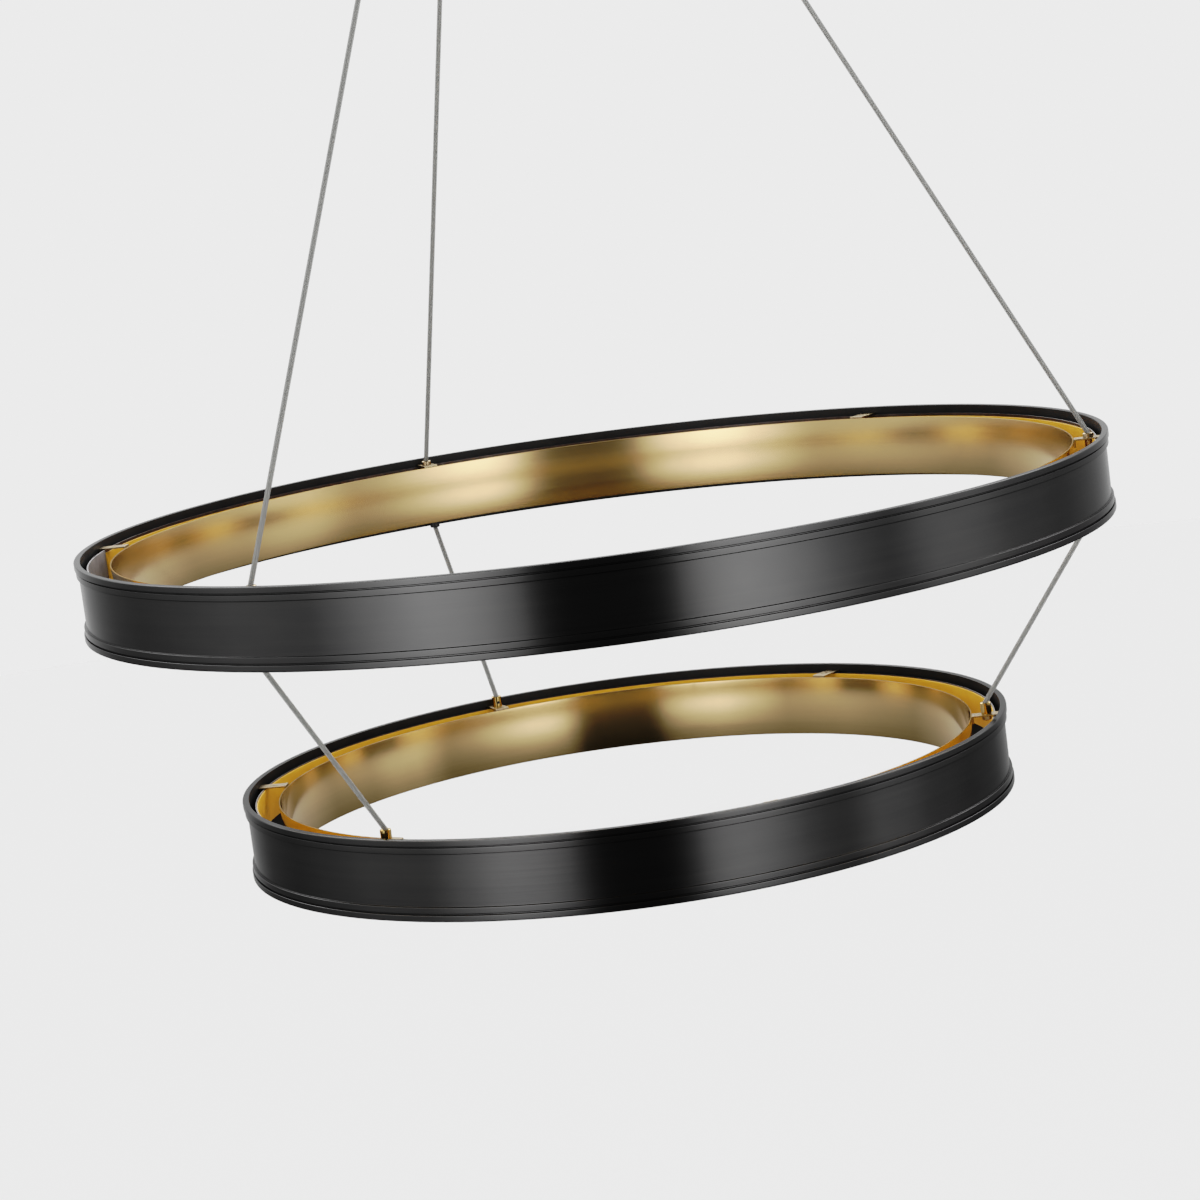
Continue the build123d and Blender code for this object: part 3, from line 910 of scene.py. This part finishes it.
@dataclass
class Ring(SubAssembly):
    """One of the two rings: its band, reflector, LED strip and bridges."""

    tier: str
    radius: float
    rim: float
    polish: Polish
    cable_hole: float
    bottom_hole: float
    body: str = ""
    strip_from: float = 0.0
    strip_arc: float = CIRCLE
    strip_drop: float = 0.0
    height: float = 0.0762
    width: float = 0.0381
    wall: float = 0.0030
    bead_proud: float = 0.0033
    bead_step: float = 0.0010
    bead_height: float = 0.0062
    groove_width: float = 0.0010
    groove_depth: float = 0.0015
    rim_round: float = 0.0011
    bead_round: float = 0.0007
    inner_round: float = 0.0005
    root_round: float = 0.0004
    lining_reach: float = 0.0001
    reflector_wall: float = 0.0015
    reflector_top: float = 0.0082
    reflector_bottom: float = 0.06985
    reflector_waist: float = 0.0457
    reflector_sweep: float = 0.2710
    reflector_round: float = 0.0005
    # Height of the band along each reflector edge that gets painted shade.
    painted_shade_rim: float = 0.0004
    reflector_cuts: int = 23
    hoop_inset: float = 0.0142
    hoop_thick: float = 0.0024
    hoop_height: float = 0.0340
    phosphor: float = 0.0010
    phosphor_round: float = 0.0004
    bridge_drop: float = 0.00635
    bridge_thick: float = 0.0016
    bridge_gap: float = 0.0001
    cable_inset: float = 0.0200
    slot_length: float = 0.0044
    slot_width: float = 0.0026
    top_bars: int = 6
    bar_crease: float = 50.0
    steps: int = 384

    @property
    def bore(self) -> float:
        """The radius of the band's inner wall."""
        return self.radius - self.bead_proud - self.wall

    @property
    def waist(self) -> float:
        """The reflector's smallest radius."""
        return self.radius - self.width

    def build(self) -> None:
        """Make the ring's pieces."""
        self.band()
        self.reflector()
        self.strip()
        self.bridges()

    def band(self) -> None:
        """Make the dark outer band with stepped beads along both edges."""
        second = self.radius - self.bead_step
        groove = second - self.groove_depth
        below = self.bead_height + self.groove_width
        edge = (
            (self.bore, 0.0, self.inner_round),
            (self.radius, 0.0, self.rim_round),
            (self.radius, self.bead_height, self.bead_round),
            (groove, self.bead_height, 0.0),
            (groove, below, 0.0),
            (second, below, self.bead_round),
            (second, below + self.bead_height, self.bead_round),
            (self.radius - self.bead_proud, below + self.bead_height, self.root_round),
        )
        upper = [Corner(r, self.rim - depth, soft) for r, depth, soft in edge]
        lower = [Corner(r, self.rim - self.height + depth, soft) for r, depth, soft in reversed(edge)]
        shape = Lathe.turn(upper + lower, self.steps)
        band = self.add(f"{self.tier}_bronze_band", shape, DARK_BRONZE, "dark_band", f"{self.tier}_band")
        self.face(band, DULL_LINING, lambda spot: spot.xy.length < self.bore + self.lining_reach)

    def flare(self, depth: float) -> float:
        """How far the reflector's wall stands out from its waist, at a depth below the rim."""
        return self.reflector_sweep - math.sqrt(self.reflector_sweep**2 - (depth - self.reflector_waist) ** 2)

    def reflector(self) -> None:
        """Make the brass reflector, whose wall curves in to a waist, with painted shade on its top and bottom
        edges.
        """
        inner, outer = self.waist, self.waist + self.reflector_wall
        top, bottom = self.rim - self.reflector_top, self.rim - self.reflector_bottom
        shape = bmesh.new()
        places = ((inner, top), (outer, top), (outer, bottom), (inner, bottom))
        corners = [shape.verts.new((r, 0.0, z)) for r, z in places]
        shape.faces.new(corners)
        Lathe.soften(shape, corners, self.reflector_round, CORNER_FACETS)
        bmesh.ops.delete(shape, geom=shape.faces[:], context="FACES_ONLY")
        tall = self.height / 2
        sides = [edge for edge in shape.edges if abs(edge.verts[0].co.z - edge.verts[1].co.z) > tall]
        bmesh.ops.subdivide_edges(shape, edges=sides, cuts=self.reflector_cuts)
        for vert in shape.verts:
            vert.co.x += self.flare(self.rim - vert.co.z)
        Lathe.spin(shape, self.steps)
        name = f"{self.tier}_brass_reflector"
        piece = self.add(name, shape, REFLECTOR_BRASS[self.polish], "brass", f"{self.tier}_reflector")
        # Faces within the edge bands get the darker brass: painted shade over the highlight the edges would
        # catch.
        low, high = bottom + self.painted_shade_rim, top - self.painted_shade_rim
        self.face(piece, PAINTED_SHADE_EDGE_BRASS, lambda spot: not low < spot.z < high)

    def strip(self) -> None:
        """Make the metal hoop under the bridges and the LED strip on its inner face."""
        face = self.radius - self.hoop_inset
        back = face + self.phosphor
        rear = face + self.hoop_thick
        top = self.rim - self.bridge_drop - self.bridge_thick
        bottom = top - self.hoop_height
        edges = [Corner(back, top), Corner(back, bottom), Corner(rear, bottom), Corner(rear, top)]
        hoop = self.add(f"{self.tier}_led_hoop", Lathe.turn(edges, self.steps), HOOP_METAL, "zinc_steel")
        self.face(hoop, HOOP_PRIMER, self.bare)
        top -= self.strip_drop
        soft = self.phosphor_round
        edges = [Corner(back, top), Corner(back, bottom), Corner(face, bottom, soft), Corner(face, top, soft)]
        strip = Lathe.turn(edges, self.steps, start=self.strip_from, arc=self.strip_arc)
        self.add(f"{self.tier}_phosphor_strip", strip, Phosphor(), "led_strip", f"{self.tier}_led_strip")

    def bare(self, spot: Vector) -> bool:
        """Whether a spot on the hoop lies where the LED strip leaves a gap."""
        return (math.degrees(math.atan2(spot.y, spot.x)) - self.strip_from) % CIRCLE > self.strip_arc

    def bar(self, depth: float, hole: float) -> Bridge:
        """Size a bar across the channel.

        Args:
            depth: Where it meets the reflector, below the rim.
            hole: The hole for a cable's fitting; a bar without one has a slot.

        Returns:
            The bar.
        """
        inner = self.waist + self.reflector_wall + self.flare(depth) + self.bridge_gap
        outer = self.bore - self.bridge_gap
        middle = self.radius - self.cable_inset
        if hole:
            return Bridge(inner, outer, middle, hole)
        return Bridge(inner, outer, middle, self.slot_width, self.slot_length)

    def bridges(self) -> None:
        """Make the bars across the channel, above and below."""
        for number in range(self.top_bars):
            bar = self.bar(self.reflector_top, 0.0 if number % 2 else self.cable_hole)
            shape = bar.build(self.rim - self.bridge_drop, number * CIRCLE / self.top_bars, False)
            name, node = f"{self.tier}_top_bar_{number + 1}", f"{self.tier}_top_bridge_{number + 1}"
            self.add(name, shape, BAR_METAL, "pale_brass", node, crease=self.bar_crease)
        bar = self.bar(self.reflector_bottom, self.bottom_hole)
        for number, angle in enumerate(CABLE_ANGLES, start=1):
            shape = bar.build(self.rim - self.height + self.bridge_drop, angle, True)
            name, node = f"{self.tier}_bottom_bar_{number}", f"{self.tier}_bottom_bridge_{number}"
            self.add(name, shape, BAR_METAL, "pale_brass", node, crease=self.bar_crease)


def numbered(name: str) -> list[str]:
    """The names of a piece's numbered copies, one for each cable."""
    return [f"{name}_{number}" for number in range(1, len(CABLE_ANGLES) + 1)]


@dataclass
class UpperRing(Ring):
    """The larger ring, with the tubes that take the cables through it."""

    def build(self) -> None:
        """Make the ring and dress its tubes."""
        super().build()
        self.dress(BAR_METAL, *numbered("feed_tube"))
        self.dress(BLACK_STEEL, *numbered("feed_cap"))


@dataclass
class LowerRing(Ring):
    """The smaller ring, with the barrels that the lower cables end in."""

    def build(self) -> None:
        """Make the ring and dress its barrels."""
        super().build()
        self.dress(GOLD_BRASS, *numbered("cable_barrel"))
        self.dress(BLACK_STEEL, *numbered("set_screw"))
        self.dress(ZINC, *numbered("barrel_nut"))


@dataclass
class Canopy(SubAssembly):
    """What stays on the ceiling: the cup, its plates, the driver and the cable grips."""

    body: str = "canopy"
    radius: float = 0.1000
    depth: float = 0.0450
    wall: float = 0.0015
    round: float = 0.0120
    lip_height: float = 0.0060
    lip_proud: float = 0.0015
    lip_round: float = 0.0008
    rim_round: float = 0.0006
    steps: int = 160
    facets: int = 8

    def build(self) -> None:
        """Make the cup and dress the rest."""
        self.cup()
        self.dress(ZINC, "ceiling_plate", "suspension_plate", *numbered("standoff"), *numbered("grip_nut"))
        self.dress(PALE_BRASS, *numbered("cable_grip"))
        self.dress(CASE_PLASTIC, "led_driver")
        self.dress(TERMINAL_PLASTIC, "terminal_block")

    def cup(self) -> None:
        """Make the spun cup with its rolled lip."""
        lip = self.radius + self.lip_proud
        inner = self.radius - self.wall
        floor = self.wall - self.depth
        corners = (
            Corner(0.0, -self.depth),
            Corner(self.radius, -self.depth, self.round),
            Corner(self.radius, -self.lip_height, self.lip_round),
            Corner(lip, -self.lip_height, self.lip_round),
            Corner(lip, 0.0, self.rim_round),
            Corner(inner, 0.0),
            Corner(inner, floor, self.round - self.wall),
            Corner(0.0, floor),
        )
        shape = Lathe.turn(corners, self.steps, self.facets)
        self.add("bronze_cup", shape, DARK_BRONZE, "dark_band", "canopy_shell")


@dataclass
class Studio:
    """The camera, the soft studio light and the pale floor."""

    camera_at: Vector = field(default_factory=lambda: Vector((0.52394, -3.38444, -0.52479)))
    aim: Vector = field(default_factory=lambda: Vector((-0.00429, 0.0, -1.04745)))
    roll: float = -7.4855
    lens: float = 105.107
    sensor: float = 36.0
    far_clip: float = 200.0
    floor_level: float = -7.00
    floor_radius: float = 40.0
    floor_sides: int = 96
    backdrop: float = 1.25
    walls: Stops = (
        (-180, 0.95), (-165, 1.05), (-150, 1.02), (-136, 0.78), (-120, 0.55), (-103, 0.69), (-86, 0.88),
        (-69, 0.80), (-45, 0.76), (-20, 0.52), (-13, 0.12), (13, 0.12), (19, 0.52), (45, 0.71), (64, 0.60),
        (76, 1.20), (88, 1.12), (98, 0.80), (120, 0.62), (136, 0.87), (150, 0.92), (165, 0.90), (180, 0.95),
    )
    walls_by_height: Stops = (
        (-90, 0.18), (-16, 0.24), (-9, 0.70), (-4, 1.0), (36, 1.0), (58, 0.35), (90, 0.35),
    )
    back: Stops = ((-180, 1.0), (-130, 1.0), (-105, 0.0), (105, 0.0), (130, 1.0), (180, 1.0))
    back_by_height: Stops = ((-90, 0.0), (18, 0.0), (30, 3.9), (62, 3.9), (74, 0.0), (90, 0.0))
    boxes: Stops = (
        (-62, 0.0), (-58, 0.25), (-54, 0.60), (-50.5, 0.95), (-47, 1.25), (-44, 1.65), (-40, 2.20),
        (-36, 2.50), (-32, 2.40), (-28, 2.15), (-24, 1.75), (-20.5, 1.20), (-17, 0.80), (-14, 0.30),
        (-11, 0.05), (-9, 0.0), (9, 0.0), (12, 0.14), (15, 0.50), (18, 0.95), (20.5, 1.60), (24.5, 2.20),
        (28.5, 2.40), (32, 2.30), (36, 1.95), (40, 1.45), (44, 1.00), (48, 0.62), (52, 0.35), (56, 0.17),
        (62, 0.0),
    )
    boxes_by_height: Stops = (
        (-3.3, 0.0), (-2.7, 0.08), (-2.4, 0.24), (-2.2, 0.46), (-2.0, 0.74), (-1.8, 0.94), (-1.6, 1.0),
        (3.0, 1.0), (4.0, 0.0),
    )
    box_distance: float = 6.40
    box_steps: int = 62
    film: Stops = (
        (0.0, 0.0), (0.035, 0.016), (0.075, 0.058), (0.105, 0.093), (0.20, 0.196), (0.41, 0.41), (0.90, 0.68),
        (1.28, 0.84), (2.0, 0.97), (3.0, 1.0),
    )

    def camera(self) -> None:
        """Set up the camera at the photograph's angle."""
        data = bpy.data.cameras.new("studio_camera")
        data.sensor_width = self.sensor
        data.lens = self.lens
        data.clip_end = self.far_clip
        camera = bpy.data.objects.new("studio_camera", data)
        camera.rotation_mode = "QUATERNION"
        camera.location = self.camera_at
        sight = (self.aim - self.camera_at).to_track_quat("-Z", "Y")
        camera.rotation_quaternion = sight @ Quaternion(UPWARD, math.radians(self.roll))
        bpy.context.scene.collection.objects.link(camera)
        bpy.context.scene.camera = camera

    def develop(self) -> None:
        """Give the picture the tone curve of a studio photograph."""
        view = bpy.context.scene.view_settings
        view.view_transform = "Standard"
        view.use_curve_mapping = True
        tones = view.curve_mapping
        white = self.film[-1][0]
        tones.white_level = (white, white, white)
        all_channels = tones.curves[3]
        for scene, picture in self.film[1:-1]:
            all_channels.points.new(scene / white, picture)
        tones.update()

    def floor(self) -> None:
        """Lay the floor."""
        shape = bmesh.new()
        bmesh.ops.create_circle(
            shape, cap_ends=True, segments=self.floor_sides, radius=self.floor_radius,
            matrix=Matrix.Translation((0.0, 0.0, self.floor_level)),
        )
        floor = into_scene("pale_floor", shape, PaleFloor().material())
        floor.visible_glossy = False

    def bearing(self, graph: NodeGraph, sight: Socket) -> Socket:
        """Find how far round from the camera's side a direction points.

        Args:
            graph: The graph to work in.
            sight: The direction from the chandelier's axis.

        Returns:
            The angle in degrees, positive to the right.
        """
        across = (self.aim - self.camera_at).cross(Vector(UPWARD)).normalized()
        right = graph.vector("DOT_PRODUCT", sight, across)
        near = graph.vector("DOT_PRODUCT", sight, (across.y, -across.x, 0.0))
        return graph.math("DEGREES", graph.math("ARCTAN2", right, near))

    def light(self) -> None:
        """Light the studio from its walls, with a plain pale backdrop for the camera."""
        world = bpy.data.worlds.new("studio")
        world.use_nodes = True
        bpy.context.scene.world = world
        graph = NodeGraph(world.node_tree)
        graph.tree.nodes.clear()
        sight = graph.add("ShaderNodeTexCoord").outputs["Generated"]
        azimuth = self.bearing(graph, sight)
        rise = graph.vector("DOT_PRODUCT", sight, UPWARD)
        height = graph.math("DEGREES", graph.math("ARCSINE", rise))
        walls = graph.both_ramps(azimuth, self.walls, height, self.walls_by_height)
        back = graph.both_ramps(azimuth, self.back, height, self.back_by_height)
        studio = graph.add("ShaderNodeBackground")
        graph.feed(studio.inputs[0], graph.math("ADD", walls, back))
        plain = graph.add("ShaderNodeBackground")
        graph.feed(plain.inputs[0], (self.backdrop, self.backdrop, self.backdrop, 1.0))
        choice = graph.add("ShaderNodeMixShader")
        graph.feed(choice.inputs[0], graph.add("ShaderNodeLightPath").outputs["Is Camera Ray"])
        graph.feed(choice.inputs[1], studio.outputs[0])
        graph.feed(choice.inputs[2], plain.outputs[0])
        graph.feed(graph.add("ShaderNodeOutputWorld").inputs[0], choice.outputs[0])

    def cloth(self) -> bpy.types.Material:
        """Make the soft boxes' lit cloth, clear where it gives no light.

        Returns:
            The material.
        """
        graph = MaterialGraph("box_cloth")
        graph.tree.nodes.remove(graph.shader)
        spot = graph.place()
        level = graph.vector("DOT_PRODUCT", spot, UPWARD)
        glow = graph.both_ramps(self.bearing(graph, spot), self.boxes, level, self.boxes_by_height)
        lit = graph.add("ShaderNodeEmission")
        graph.feed(lit.inputs["Strength"], glow)
        both = graph.add("ShaderNodeAddShader")
        graph.feed(both.inputs[0], lit.outputs[0])
        graph.feed(both.inputs[1], graph.add("ShaderNodeBsdfTransparent").outputs[0])
        graph.feed(graph.tree.nodes["Material Output"].inputs[0], both.outputs[0])
        return graph.material

    def soft_boxes(self) -> None:
        """Stand a tall soft box on each side behind the camera, on one curved screen."""
        shape = bmesh.new()
        foot, top = self.boxes_by_height[0][0], self.boxes_by_height[-1][0]
        start, end = self.boxes[0][0], self.boxes[-1][0]
        side = math.atan2(self.camera_at.y, self.camera_at.x) + math.radians(start)
        pole = [shape.verts.new((self.box_distance, 0.0, z)) for z in (foot, top)]
        shape.edges.new(pole)
        bmesh.ops.rotate(shape, cent=ORIGIN, matrix=Matrix.Rotation(side, 3, "Z"), verts=pole)
        Lathe.drag(shape, math.radians(end - start), self.box_steps)
        screen = into_scene("soft_boxes", shape, self.cloth())
        screen.visible_camera = False

    def build(self) -> None:
        """Set the whole studio up."""
        self.camera()
        self.floor()
        self.light()
        self.soft_boxes()
        self.develop()


def main() -> None:
    """Build the studio and the chandelier, part by part."""
    logging.basicConfig(level=logging.INFO, format="%(name)s: %(message)s")
    Studio().build()
    CableSet("upper_cable", top_radius=0.0500, top=-0.0600, bottom_radius=0.4880, bottom=-0.93585).build()
    CableSet("lower_cable", top_radius=0.4880, top=-1.01085, bottom_radius=0.3610, bottom=-1.18895).build()
    UpperRing(
        "upper", radius=0.5080, rim=-0.9340, polish=Polish.SATIN, cable_hole=0.0072, bottom_hole=0.0072,
        body="upper_ring", strip_from=206.0, strip_arc=335.0, strip_drop=0.0030,
    ).build()
    LowerRing(
        "lower", radius=0.3810, rim=-1.1940, polish=Polish.MIRROR, cable_hole=0.0050, bottom_hole=0.0,
        body="lower_ring", strip_drop=0.0010, reflector_sweep=0.39,
    ).build()
    Canopy().build()


if __name__ == "__main__":
    main()
